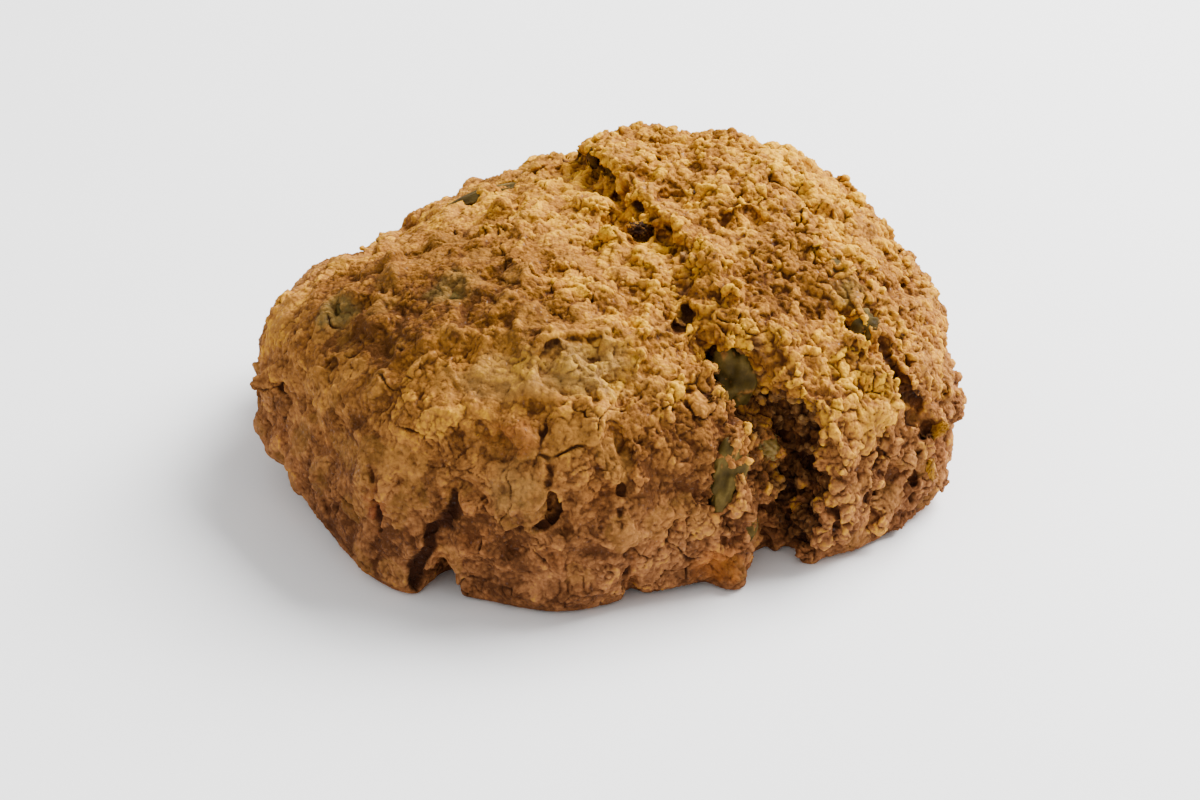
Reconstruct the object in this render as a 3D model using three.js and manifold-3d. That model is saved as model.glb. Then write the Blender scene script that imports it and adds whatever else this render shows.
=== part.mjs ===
// A large rustic oat cookie, baked in one piece as a tall mound of rough dough
// that split open on one side, with fruit and seeds baked into its crust.
// Millimetres, +Z up, flat foot on z = 0, the split opens towards -Y.
import * as THREE from 'three';
import { mergeVertices } from 'three/addons/utils/BufferGeometryUtils.js';
import Module from 'manifold-3d';

const wasm = await Module();
wasm.setup();

const UP = new THREE.Vector3(0, 0, 1);

// ---------------------------------------------------------------- driving dimensions
const CROWN = 42.3; // height of the mound before its swells
const BULGE = 13.5; // height of the widest line of its sides
const SHOULDER = 2.5; // 2 gives an elliptical side, more is squarer
const SIDE_SHARE = 0.3; // share of the rings that lie below the widest line
const CLEARANCE = 0.3; // air between a baked-in piece and its pocket

// Plan of the mound, anticlockwise: bearing from +X in degrees, widest radius, foot radius.
const PLAN = [
  [-112, 54, 51],
  [-96, 55, 52],
  [-78, 52, 46],
  [-58, 52, 47],
  [-42, 56, 52],
  [-22, 59, 55],
  [0, 56, 50.5],
  [22, 52.5, 47],
  [48, 51.5, 45],
  [75, 50.5, 44],
  [102, 49.5, 43],
  [128, 50.5, 44],
  [152, 52, 45],
  [174, 54, 46],
  [-166, 54, 45],
  [-146, 52, 49.5],
  [-124, 56, 54.5],
];

// Broad swells and hollows of the crown: x, y, spread, rise.
const SWELLS = [
  [-41, 20, 22, -11],
  [33, 14, 24, 9],
  [-7, -36, 20, 2],
];

// Lumps of dough that stand out of the mound. Length and width are half axes of the plan.
const LUMPS = {
  crest: { at: [14.5, 12.5], length: 20.5, width: 14.5, bearing: -66, height: 46, bulge: 41, foot: 0.5 },
  rearLeft: { at: [-38.5, 18], length: 15.5, width: 12.5, bearing: 120, height: 25, bulge: 11.5, foot: 0.8 },
  crumb: { at: [20.5, -44], length: 4.5, width: 3.5, bearing: 20, height: 6, bulge: 2.5, foot: 0.7 },
};

// Splits in the crust. Each stop is x, y, z, half width, half depth, and the split runs
// from the surface into the dough towards its aim.
const FISSURES = {
  main: {
    aim: [29, -7, 11],
    route: [
      [-5.5, 30.5, 38, 0.4, 1],
      [-2, 20, 43, 0.8, 2.5],
      [2.5, 8, 45, 1.1, 3.5],
      [8, -7, 44.5, 0.7, 2],
      [12.5, -15.5, 43, 0.7, 2.5],
      [16, -23.5, 41.5, 1.3, 4.5],
      [15, -31.5, 38.5, 2.7, 7],
      [20, -38.5, 33.5, 4.7, 11.5],
      [28, -43, 26, 7.4, 15.5],
      [29, -45, 17, 7.4, 17],
      [28, -45, 7, 5.8, 14.5],
      [26, -42.5, -4.5, 4.5, 9],
    ],
  },
  right: {
    aim: [25, 0, 13],
    route: [
      [29.5, -3.5, 42.5, 0.4, 1],
      [33.5, -11.5, 40.5, 0.8, 2.5],
      [37, -20.5, 37, 1.2, 4.5],
      [40.5, -29, 33.5, 1.4, 5.5],
      [46, -32.5, 27, 1.5, 5.5],
      [50.5, -30.5, 20, 1.4, 5.5],
      [55, -24.5, 13.5, 1.4, 4.5],
      [58.5, -16, 10, 0.9, 2.5],
      [59.5, -7, 11, 0.4, 1],
    ],
  },
  frontLeft: {
    aim: [-7, -9, 13],
    route: [
      [-26, -51.5, 20.5, 0.4, 1],
      [-24.5, -52, 12.5, 0.9, 2.5],
      [-24, -49.5, 5.5, 2.5, 6.5],
      [-23.5, -45, -3.5, 3.1, 8],
    ],
  },
  front: {
    aim: [0, 0, 11],
    route: [
      [3, -51.5, 24.5, 0.3, 1],
      [4.5, -53.5, 14.5, 0.6, 2],
      [5, -51.5, 5.5, 0.9, 2.5],
      [5, -47, -3.5, 1.3, 3.5],
    ],
  },
  frontHollow: {
    aim: [-4, -9, 14],
    route: [
      [-8, -52, 23.5, 0.4, 1],
      [-7, -54, 19.5, 1.4, 3.5],
      [-9, -55, 15.5, 0.7, 2],
      [-12.5, -55, 13.5, 0.4, 1],
    ],
  },
  rearLeft: {
    aim: [-18, 0, 9],
    route: [
      [-34, 24.5, 29.5, 0.4, 1],
      [-41.5, 14.5, 29, 0.8, 2.5],
      [-45, 2.5, 28, 1, 2.5],
      [-50.5, -5.5, 23.5, 0.4, 1.5],
    ],
  },
};

// Pieces baked into the crust, by finish: half sizes along their own axes, turned about X, Y,
// then Z.
const PIECES = {
  greenFruit: {
    fruit_in_split: { at: [19.8, -31.5, 29.7], half: [4.5, 3.6, 5], turn: [0, 20, 30] },
    fruit_left_lip: { at: [18.9, -46.8, 18.9], half: [2.9, 2.2, 5.8], turn: [0, 14, 24] },
    fruit_below_lip: { at: [20.7, -43.6, 9.4], half: [2, 1.8, 2.7], turn: [0, 10, 20] },
    fruit_right_crack_upper: { at: [35.1, -16.2, 37.8], half: [2.2, 3.2, 1.8], turn: [20, 20, -20] },
    fruit_right_crack_lower: { at: [39.1, -25.2, 32.8], half: [2.3, 2.9, 2.3], turn: [40, 10, -30] },
    fruit_left_crown: { at: [-18, 20.5, 36], half: [5.8, 2.2, 1.8], turn: [-10, -14, 12] },
    fruit_left_side: { at: [-20.7, -24.3, 38.2], half: [2.7, 1.8, 1.4], turn: [20, -20, 20] },
    fruit_far_left: { at: [-38.7, -15.3, 32.4], half: [1.6, 2.5, 1.8], turn: [0, -40, 0] },
  },
  raisin: {
    raisin_in_seam: { at: [6.8, -8.1, 43.2], half: [2.2, 1.5, 1.4], turn: [0, 0, -30] },
    raisin_on_crown: { at: [16.6, -1.8, 44.8], half: [2, 1.4, 1.3], turn: [0, 8, 20] },
  },
  seed: {
    seed_in_crack: { at: [51.8, -27.9, 17.1], half: [0.9, 1.3, 3.1], turn: [40, 35, 0] },
    seed_right_lobe: { at: [50.8, -28.8, 9], half: [1.1, 1.2, 3.2], turn: [0, 8, -30] },
  },
  paleFruit: {
    pale_fruit_in_split: { at: [25.2, -34.2, 18], half: [2.7, 2.7, 2.2], turn: [0, 20, 0] },
  },
};

const FINISHES = {
  crust: { color: 0xb5762f, roughness: 0.92, metalness: 0 },
  greenFruit: { color: 0x6d6d2c, roughness: 0.55, metalness: 0 },
  paleFruit: { color: 0xb7a06b, roughness: 0.4, metalness: 0 },
  raisin: { color: 0x3a251c, roughness: 0.5, metalness: 0 },
  seed: { color: 0xb98a2c, roughness: 0.6, metalness: 0 },
};

// ---------------------------------------------------------------- helpers
function toSolid(geometry) {
  geometry.deleteAttribute('normal');
  geometry.deleteAttribute('uv');
  const merged = mergeVertices(geometry);
  const mesh = new wasm.Mesh({
    numProp: 3,
    vertProperties: new Float32Array(merged.attributes.position.array),
    triVerts: new Uint32Array(merged.index.array),
  });
  return new wasm.Manifold(mesh);
}

function toGeometry(solid) {
  const mesh = solid.getMesh();
  const geometry = new THREE.BufferGeometry();
  geometry.setAttribute('position', new THREE.BufferAttribute(mesh.vertProperties, 3));
  geometry.setIndex(new THREE.BufferAttribute(mesh.triVerts, 1));
  geometry.computeVertexNormals();
  return geometry;
}

// Moves every vertex of a geometry to the place that a function gives it.
function reshape(geometry, place) {
  const position = geometry.attributes.position;
  for (let i = 0; i < position.count; i++) {
    const moved = place(new THREE.Vector3().fromBufferAttribute(position, i));
    position.setXYZ(i, moved.x, moved.y, moved.z);
  }
  return geometry;
}

function onBearing(degrees, radius) {
  const angle = THREE.MathUtils.degToRad(degrees);
  return new THREE.Vector3(radius * Math.cos(angle), radius * Math.sin(angle), 0);
}

// ---------------------------------------------------------------- dough
// A lump stands on z = 0, with a flat foot, sides that bulge to the widest line and a
// rounded crown. The outlines are functions of a turn from 0 to 1.
function lump({ widest, foot, centre, crown, bulge, segments, rings }) {
  const footRing = 1 - 1 / (rings * SIDE_SHARE);
  const ball = new THREE.SphereGeometry(1, segments, rings).rotateX(Math.PI / 2);
  return reshape(ball, (point) => {
    const turn = (Math.atan2(point.y, point.x) / (2 * Math.PI) + 1) % 1;
    const latitude = Math.acos(THREE.MathUtils.clamp(point.z, -1, 1)) / Math.PI;
    const rise = (1 - latitude / (1 - SIDE_SHARE)) * Math.PI / 2;
    const rim = widest(turn).sub(centre);
    const place = centre.clone();
    if (rise >= 0) {
      place.addScaledVector(rim, Math.cos(rise) ** (2 / SHOULDER));
      place.z = bulge + (crown(place.x, place.y) - bulge) * Math.sin(rise) ** (2 / SHOULDER);
      return place;
    }
    const drop = (latitude - 1 + SIDE_SHARE) / SIDE_SHARE;
    if (drop > footRing + 0.01) return place;
    const tuck = drop / footRing * Math.PI / 2;
    place.add(rim.lerp(foot(turn).sub(centre), 1 - Math.cos(tuck)));
    place.z = bulge * Math.max(1 - Math.sin(tuck), 0);
    return place;
  });
}

function crownHeight(x, y) {
  return SWELLS.reduce((height, [atX, atY, spread, rise]) => {
    const apart = ((x - atX) ** 2 + (y - atY) ** 2) / spread ** 2;
    return height + rise * Math.exp(-apart);
  }, CROWN);
}

function mound() {
  const outline = (radii) => {
    const curve = new THREE.CatmullRomCurve3(radii, true);
    return (turn) => curve.getPoint(turn);
  };
  return lump({
    widest: outline(PLAN.map(([bearing, radius]) => onBearing(bearing, radius))),
    foot: outline(PLAN.map(([bearing, , radius]) => onBearing(bearing, radius))),
    centre: new THREE.Vector3(),
    crown: crownHeight,
    bulge: BULGE,
    segments: 72,
    rings: 30,
  });
}

function ovalLump({ at, length, width, bearing, height, bulge, foot }) {
  const centre = new THREE.Vector3(at[0], at[1], 0);
  const axes = new THREE.Vector3(length, width, 0);
  const outline = (scale) => (turn) => {
    const point = onBearing(turn * 360, scale).multiply(axes);
    return point.applyAxisAngle(UP, THREE.MathUtils.degToRad(bearing)).add(centre);
  };
  return lump({
    widest: outline(1),
    foot: outline(foot),
    centre,
    crown: () => height,
    bulge,
    segments: 24,
    rings: 10,
  });
}

// A closed tube whose flat oval section follows the route and narrows towards its ends.
function fissure({ route, aim }) {
  const path = new THREE.CatmullRomCurve3(route.map(([x, y, z]) => new THREE.Vector3(x, y, z)));
  const sizes = route.map(([, , , half, deep]) => new THREE.Vector3(half, deep, 0));
  const size = new THREE.CatmullRomCurve3(sizes);
  const core = new THREE.Vector3(...aim);
  const tube = new THREE.CylinderGeometry(1, 1, 1, 8, 3 * (route.length - 1));
  return reshape(tube, (point) => {
    const along = THREE.MathUtils.clamp(point.y + 0.5, 0, 1);
    const place = path.getPoint(along);
    const { x: half, y: deep } = size.getPoint(along);
    const tangent = path.getTangent(along);
    const inward = core.clone().sub(place);
    inward.addScaledVector(tangent, -inward.dot(tangent)).normalize();
    const across = new THREE.Vector3().crossVectors(tangent, inward);
    place.addScaledVector(across, point.x * half);
    return place.addScaledVector(inward, point.z * deep);
  });
}

// ---------------------------------------------------------------- baked-in pieces
function bakedPiece({ at, half, turn }, extra) {
  const turns = turn.map(THREE.MathUtils.degToRad);
  const ball = new THREE.SphereGeometry(1, 12, 8);
  ball.scale(half[0] + extra, half[1] + extra, half[2] + extra);
  ball.rotateX(turns[0]);
  ball.rotateY(turns[1]);
  ball.rotateZ(turns[2]);
  return ball.translate(...at);
}

function cookie() {
  let dough = toSolid(mound());
  for (const shape of Object.values(LUMPS)) {
    dough = dough.add(toSolid(ovalLump(shape)));
  }
  for (const shape of Object.values(FISSURES)) {
    dough = dough.subtract(toSolid(fissure(shape)));
  }
  for (const pieces of Object.values(PIECES)) {
    for (const piece of Object.values(pieces)) {
      dough = dough.subtract(toSolid(bakedPiece(piece, CLEARANCE)));
    }
  }
  return toGeometry(dough);
}

// ---------------------------------------------------------------- the part
const part = new THREE.Group();

function addPiece(name, geometry, finish) {
  const mesh = new THREE.Mesh(geometry, new THREE.MeshStandardMaterial(FINISHES[finish]));
  mesh.name = name;
  part.add(mesh);
}

addPiece('cookie', cookie(), 'crust');
for (const [finish, pieces] of Object.entries(PIECES)) {
  for (const [name, piece] of Object.entries(pieces)) {
    addPiece(name, bakedPiece(piece, 0), finish);
  }
}

// The origin is the middle of the footprint's box.
const middle = new THREE.Box3().setFromObject(part).getCenter(new THREE.Vector3());
part.position.set(-middle.x, -middle.y, 0);

export default part;
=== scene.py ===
import math

import bmesh
import bpy
import numpy as np
from mathutils import Matrix, Vector, noise
from mathutils.bvhtree import BVHTree
from mathutils.kdtree import KDTree


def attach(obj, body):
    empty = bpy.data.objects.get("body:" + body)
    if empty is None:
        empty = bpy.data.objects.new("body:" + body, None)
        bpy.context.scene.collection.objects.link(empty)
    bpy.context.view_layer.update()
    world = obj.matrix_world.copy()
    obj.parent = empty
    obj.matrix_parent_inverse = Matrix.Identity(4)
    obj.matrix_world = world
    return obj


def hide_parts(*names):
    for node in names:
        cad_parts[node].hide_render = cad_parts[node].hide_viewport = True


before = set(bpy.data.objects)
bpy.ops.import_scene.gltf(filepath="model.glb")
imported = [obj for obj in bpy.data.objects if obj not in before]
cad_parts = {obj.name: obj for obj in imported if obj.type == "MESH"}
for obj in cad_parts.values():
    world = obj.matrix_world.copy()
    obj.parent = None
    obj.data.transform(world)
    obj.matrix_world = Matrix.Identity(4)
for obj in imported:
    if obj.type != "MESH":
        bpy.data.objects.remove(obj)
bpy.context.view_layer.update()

INCLUSIONS = [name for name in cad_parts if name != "cookie"]
MM = 0.001
NOISE_SEED = 4
noise.seed_set(NOISE_SEED)


def placed(name, data):
    """A new object in the scene that holds the given mesh, light or camera."""
    made = bpy.data.objects.new(name, data)
    bpy.context.scene.collection.objects.link(made)
    return made


def keep(piece, slot, *nodes):
    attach(piece, "root")
    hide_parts(*nodes)


# -------- camera
CAMERA_ELEVATION = math.radians(27.5)
CAMERA_ROLL = math.radians(-0.9)
CAMERA_DISTANCE = 440 * MM
CAMERA_LENS = 82
CAMERA_NEAR = 10 * MM
AIM = Vector((-0.7, -0.9, 10)) * MM


def place_camera():
    data = bpy.data.cameras.new("studio_camera")
    data.lens = CAMERA_LENS
    data.clip_start = CAMERA_NEAR
    camera = placed("studio_camera", data)
    back = Vector((0, -math.cos(CAMERA_ELEVATION), math.sin(CAMERA_ELEVATION)))
    tilt = Matrix.Rotation(math.pi / 2 - CAMERA_ELEVATION, 4, "X")
    roll = Matrix.Rotation(CAMERA_ROLL, 4, "Z")
    camera.matrix_world = Matrix.Translation(AIM + back * CAMERA_DISTANCE) @ tilt @ roll
    bpy.context.scene.camera = camera


place_camera()


# -------- meshes as arrays, in millimetres
def fetched(elements, field, width=1, kind=np.float32):
    """One field of a mesh's elements, a row for each."""
    values = np.empty(len(elements) * width, kind)
    elements.foreach_get(field, values)
    return values.reshape(-1, width)


def read_points(mesh):
    return fetched(mesh.vertices, "co", 3) / MM


def write_points(mesh, points):
    mesh.vertices.foreach_set("co", (points * MM).astype(np.float32).ravel())
    mesh.update()


def read_normals(mesh):
    return fetched(mesh.vertex_normals, "vector", 3)


def read_quads(mesh):
    return fetched(mesh.loops, "vertex_index", 1, np.int32).reshape(-1, 4)


def triangles_of(mesh):
    mesh.calc_loop_triangles()
    return fetched(mesh.loop_triangles, "vertices", 3, np.int32)


def edge_ends(mesh):
    return fetched(mesh.edges, "vertices", 2, np.int32)


def read_layer(mesh, name):
    return fetched(mesh.attributes[name].data, "value")[:, 0]


def write_layers(mesh, layers):
    for name, values in layers.items():
        layer = mesh.attributes.new(name, "FLOAT", "POINT")
        layer.data.foreach_set("value", values.astype(np.float32))


def make_mesh(name, points, faces):
    """A mesh from arrays: faces all have the same number of corners."""
    mesh = bpy.data.meshes.new(name)
    count, corners = faces.shape
    mesh.vertices.add(len(points))
    mesh.loops.add(count * corners)
    mesh.polygons.add(count)
    mesh.loops.foreach_set("vertex_index", faces.astype(np.int32).ravel())
    mesh.polygons.foreach_set("loop_start", np.arange(0, count * corners, corners, dtype=np.int32))
    write_points(mesh, points)
    mesh.update(calc_edges=True)
    return mesh


def in_order(points, quads):
    """The same mesh numbered by place, so that random picks from it always fall alike."""
    order = np.lexsort(points.T)
    rank = np.empty(len(order), np.int64)
    rank[order] = np.arange(len(order))
    quads = rank[quads]
    first = quads.argmin(1)[:, None]
    quads = np.take_along_axis(quads, (first + np.arange(4)) % 4, 1)
    return points[order], quads[np.lexsort(quads.T[::-1])]


def fused(mesh, voxel):
    """The union of all the closed shells in a mesh, as one even skin."""
    body = placed("fusing", mesh)
    remesh = body.modifiers.new("fuse", "REMESH")
    remesh.mode = "VOXEL"
    remesh.voxel_size = voxel * MM
    graph = bpy.context.evaluated_depsgraph_get()
    skin = bpy.data.meshes.new_from_object(body.evaluated_get(graph))
    bpy.data.objects.remove(body)
    bpy.data.meshes.remove(mesh)
    ordered = make_mesh("fused", *in_order(read_points(skin), read_quads(skin)))
    bpy.data.meshes.remove(skin)
    return ordered


def smoothed(values, ends, passes):
    """Each value drawn half way to its neighbours' mean, again and again."""
    values = values.astype(np.float64)
    count = len(values)
    both = np.concatenate([ends[:, 0], ends[:, 1]])
    other = np.concatenate([ends[:, 1], ends[:, 0]])
    degree = np.maximum(np.bincount(both, minlength=count), 1)
    for _ in range(passes):
        if values.ndim == 1:
            mean = np.bincount(both, values[other], count) / degree
        else:
            mean = np.stack([np.bincount(both, column[other], count) / degree for column in values.T], 1)
        values += 0.5 * (mean - values)
    return values


def raised(mesh, points, normals, lift):
    """Moves the points of a mesh along their normals by the lift, none of them below the floor."""
    points += normals * lift[:, None]
    points[:, 2] = np.maximum(points[:, 2], 0)
    write_points(mesh, points)


def unit(vectors):
    return vectors / np.linalg.norm(vectors, axis=-1, keepdims=True)


# -------- the dough's broad form
# Sizes and heights in mm: swells, then plates that tilt, with the limits of both and the height over
# which they set in above the flat foot.
SUBSTRATE_VOXEL = 0.7
SUBSTRATE_PASSES = 5
SWELL_SIZE = 12
SWELL_HEIGHT = 0.9
PLATE_SIZE = 8
PLATE_LEAN = 0.3
PLATE_EDGE = 0.12
BROAD_LIMITS = (-2.2, 1.2)
BROAD_FOOT = (0.5, 6)
# How fast a mottle's finer layers fade, and how much finer each one is.
MOTTLE_FADE = 0.8
MOTTLE_STEP = 2.1
# How much of the sky each point sees: rays, how far they go, how far off the surface they start,
# and how flat a ray may lie.
SKY_RAYS = 40
SKY_REACH = 22
SKY_START = 0.6
SKY_GRAZING = 0.1
# Lumps, in shares of their size: how far and how finely their outlines wander, how far a dome reaches,
# and how wide the edge of the tilted plate and the gap beside it are.
LUMP_WANDER = 0.4
LUMP_PITCH = 1.3
DOME_REACH = 0.8
LUMP_EDGE = 0.15
GAP_EDGE = 0.18
# The height of a dome that stays level with the dough, and the flattest lump's share of it.
DOME_LEVEL = 0.6
FLATTEST_DOME = 0.4
# Spreads the lumps' middles so far that each one draws numbers of its own.
OWN_CELL = 9.7

# Cracks, as a walker goes along them. Each stop is x, y, z, half width, depth, and the lips are how
# far the crust on the walker's left and on the right stands up beside the crack, over its reach.
CRACKS = {
    "crest_seam": {"lips": (2.4, -2.0), "reach": 8, "stops": [
        (-6, 33, 38, 0.8, 2.5), (-2, 22, 43, 1.1, 4), (2, 12, 44, 0.7, 2.6), (6, -1, 43, 0.6, 2),
        (9, -7, 42, 0.5, 1.8), (13, -13, 42, 0.6, 2), (15, -19, 40, 0.8, 2.2), (13.5, -24, 38, 0.7, 1.5),
        (11, -29, 37, 0.8, 1.8), (8, -33, 37, 0.4, 1)]},
    "right_crack": {"lips": (0.7, 0.4), "stops": [
        (28, -1, 43, 0.4, 1), (33, -10, 38, 0.6, 1.6), (36, -17, 35, 0.8, 2), (40, -22, 31, 0.9, 2.2),
        (44, -27, 27, 0.9, 2.2), (47, -27, 21, 0.9, 2.2), (51, -24, 14, 0.7, 2)]},
    "ledge_crack": {"lips": (-0.2, 0.9), "stops": [
        (9, -33, 37, 0.3, 0.8), (4, -35, 38, 0.35, 0.9), (-1, -36, 38, 0.4, 1.1), (-7, -37, 38, 0.4, 1.1),
        (-13, -38, 36, 0.35, 0.8)]},
    "middle_crack": {"lips": (0, 0.5), "stops": [
        (-9, -26, 41, 0.3, 0.8), (-4, -25, 42, 0.45, 1.3), (0, -24, 42, 0.4, 1.2), (5, -27, 40, 0.3, 0.8)]},
    "crown_crack": {"lips": (-0.3, 0.7), "stops": [
        (-18, -8, 41, 0.3, 0.8), (-13, -4, 42, 0.5, 1.5), (-8, -2, 42, 0.3, 1)]},
    "upper_ledge": {"lips": (-0.3, 0.8), "stops": [
        (-27, 2, 38, 0.2, 0.6), (-20, 6, 40, 0.4, 1.1), (-12, 8, 42, 0.4, 1.1), (-6, 7, 43, 0.2, 0.6)]},
    "front_crack": {"lips": (0.4, 0.4), "stops": [
        (-2, -43, 34, 0.4, 1), (-1, -47, 30, 0.5, 1.3), (1, -49, 25, 0.45, 1.4), (2, -49, 21, 0.5, 1.4),
        (2, -51, 16, 0.5, 1.6), (3, -50, 10, 0.5, 1.6), (3, -49, 4, 0.6, 1.8)]},
    "front_cleft": {"lips": (0.3, 0.6), "stops": [
        (-21, -45, 20, 0.3, 1), (-23, -47, 15, 0.8, 2.4), (-26, -47, 10, 0.8, 2.4), (-28, -46, 5, 1, 3),
        (-27, -45, 1, 1.2, 3)]},
    "front_hollow": {"lips": (0.4, 0.3), "stops": [
        (-8, -50, 25, 0.5, 1.2), (-7, -50, 21, 0.7, 1.8), (-8, -50, 17, 0.6, 1.7), (-12, -51, 15, 0.6, 1.4),
        (-16, -50, 13, 0.4, 1)]},
    "left_crease": {"lips": (0.4, 0.3), "stops": [
        (-37, -37, 21, 0.3, 0.8), (-33, -42, 18, 0.5, 1.3), (-34, -43, 13, 0.5, 1.6),
        (-35, -43, 8, 0.3, 1)]},
    "patch_edge": {"lips": (-0.2, 0.4), "stops": [
        (-7, -38, 37, 0.3, 0.8), (-9, -41, 35, 0.3, 0.9), (-6, -43, 33, 0.35, 1), (0, -44, 32, 0.35, 1),
        (6, -41, 33, 0.3, 0.8)]},
    "right_foot_crack": {"lips": (0.2, 0.3), "stops": [
        (47, -29, 17, 0.5, 1.5), (48, -29, 12, 0.7, 2), (47, -29, 6, 0.5, 1.6)]},
    "right_low_crack": {"lips": (0.1, 0.3), "stops": [
        (31, -34, 13, 0.4, 1), (34, -38, 10, 0.5, 1.6), (34, -38, 5, 0.4, 1.4)]},
    "rear_left_crack": {"lips": (0.9, -0.3), "stops": [
        (-35, 27, 29, 0.5, 1.4), (-43, 17, 29, 0.8, 2.4), (-46, 5, 28, 0.9, 2.6), (-52, -3, 23, 0.5, 1.4)]},
    "left_crack": {"lips": (0.3, 0.1), "stops": [
        (-34, -10, 37, 0.3, 0.7), (-34, -16, 37, 0.4, 1.2), (-31, -22, 37, 0.3, 0.8)]},
    "back_crack": {"lips": (0.7, 0), "stops": [
        (24, 40, 26, 0.4, 1), (12, 44, 27, 0.7, 2), (2, 45, 22, 0.7, 2), (-12, 45, 24, 0.4, 1)]},
    "back_right_crack": {"lips": (0.3, 0.5), "stops": [
        (44, 14, 36, 0.4, 1), (48, 20, 26, 0.7, 2), (44, 30, 15, 0.6, 2), (44, 32, 6, 0.7, 2)]},
    "back_foot_crack": {"lips": (0.3, 0.3), "stops": [
        (-20, 42, 16, 0.4, 1), (-24, 42, 10, 0.7, 2), (-22, 42, 2, 0.9, 2.6)]},
}
LINE_STEP = 0.5
CRACK_FLARE = 1.9
# Above 1, a crack's sides are steeper at its bottom than at its brim.
CRACK_HOLLOWING = 1.2
# The size and the reach of the wanders that make a crack's course ragged.
CRACK_WANDERS = [(1.4, 0.35), (4, 0.8)]
# How much a crack's width varies, in patches of what size and within which limits.
CRACK_SWING = 0.4
CRACK_PATCH = 5
CRACK_LIMITS = (0.7, 1.4)
# How far a lip reaches if its crack doesn't say, how soft it is at the crack, and the share of the
# crack at each end where it fades.
LIP_REACH = 4.5
LIP_EDGE = 0.5
LIP_FADE = 0.12


def ease(values, low, high):
    """Rises smoothly from 0 at low to 1 at high."""
    share = np.clip((values - low) / (high - low), 0, 1)
    return share * share * (3 - 2 * share)


def jitter(points, size):
    """A smoothly varying vector for each point, about 1 long at most."""
    return np.array([noise.noise_vector(Vector(p)) for p in points / size])


def ragged(points, wanders):
    """The points pushed about by smooth wanders, each of a size and a reach in mm."""
    moved = points
    for size, reach in wanders:
        moved = moved + jitter(points, size) * reach
    return moved


def mottle(points, size, octaves=3):
    return np.array([noise.fractal(Vector(p), MOTTLE_FADE, MOTTLE_STEP, octaves) for p in points / size])


def clumps(points, size):
    """Irregular lumps that fill the dough. Gives each point's distance in from its lump's edge,
    how high it is on its lump's dome, its height on a plate tilted at random with the lump, and a
    number of the lump's own."""
    inward, dome, slope, own = (np.empty(len(points)) for _ in range(4))
    for i, point in enumerate(points / size):
        place = Vector(point)
        place += noise.noise_vector(place * LUMP_PITCH) * LUMP_WANDER
        (near, after, *_), (seed, *_) = noise.voronoi(place)
        inward[i] = after - near
        dome[i] = 1 - min(near / DOME_REACH, 1) ** 2
        lean = noise.cell_vector(seed * OWN_CELL)
        slope[i] = (lean * 2 - Vector((1, 1, 1))).dot(place - seed)
        own[i] = lean.x
    return inward, dome, slope, own


def lumpy(points, size, dome_height, step, lean, gap):
    """Relief of rounded, tilted lumps with narrow gaps between, with each lump's own number and how
    far each point is into a gap."""
    inward, dome, slope, own = clumps(points, size)
    plate = ((own - 0.5) * step + slope * lean) * ease(inward, 0, LUMP_EDGE)
    between = ease(inward, GAP_EDGE, 0)
    domed = (dome - DOME_LEVEL) * dome_height * (FLATTEST_DOME + own)
    return domed + plate - between * gap, own, between


def substrate():
    """The CAD cookie with its facets and cut edges softened, broad lumps and tilted plates added."""
    mesh = fused(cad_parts["cookie"].data.copy(), SUBSTRATE_VOXEL)
    points = smoothed(read_points(mesh), edge_ends(mesh), SUBSTRATE_PASSES)
    write_points(mesh, points)
    normals = read_normals(mesh)
    inward, _, slope, _ = clumps(points, PLATE_SIZE)
    lift = mottle(points, SWELL_SIZE) * SWELL_HEIGHT
    lift += slope * PLATE_LEAN * PLATE_SIZE * ease(inward, 0, PLATE_EDGE)
    lift = np.clip(lift, *BROAD_LIMITS) * ease(points[:, 2], *BROAD_FOOT)
    raised(mesh, points, normals, lift)
    return mesh


def spline(stops, step):
    """Points about a step apart along a Catmull-Rom curve through the stops."""
    stops = np.array(stops, float)
    line = []
    ends = np.vstack([2 * stops[0] - stops[1], stops, 2 * stops[-1] - stops[-2]])
    for a, b, c, d in zip(ends, ends[1:], ends[2:], ends[3:]):
        count = max(round(float(np.linalg.norm(c - b)) / step), 1)
        t = np.arange(count)[:, None] / count
        bend = (2 * a - 5 * b + 4 * c - d) * t + (3 * b - a - 3 * c + d) * t ** 2
        line.append(b + 0.5 * t * (c - a + bend))
    return np.concatenate(line + [stops[-1:]])


def nearest(targets, points):
    """For each point, which of the targets is nearest and how far off it is."""
    tree = KDTree(len(targets))
    for i, target in enumerate(targets):
        tree.insert(target, i)
    tree.balance()
    found = [tree.find(p) for p in points]
    return np.array([i for _, i, _ in found], int), np.array([d for _, _, d in found])


class Line:
    """A line laid on a surface, with its normal and the walker's right hand at each point."""

    def __init__(self, tree, stops):
        course = spline(stops, LINE_STEP)
        found = [tree.find_nearest(Vector(p) * MM) for p in course[:, :3]]
        self.points = np.array([place for place, *_ in found]) / MM
        self.normals = np.array([normal for _, normal, *_ in found])
        self.rest = course[:, 3:]
        walk = unit(np.gradient(self.points, axis=0) + 1e-9)
        self.right_hand = unit(np.cross(walk, self.normals))

    def measure(self, points, reach):
        """Which points are within reach, each one's nearest place on the line and how far off that is."""
        low, high = self.points.min(0) - reach, self.points.max(0) + reach
        close = np.flatnonzero(((points > low) & (points < high)).all(1))
        place, apart = nearest(self.points, points[close])
        near = apart < reach
        return close[near], place[near], apart[near]


def surface_tree(mesh):
    return BVHTree.FromPolygons([v.co for v in mesh.vertices], [p.vertices for p in mesh.polygons])


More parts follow.
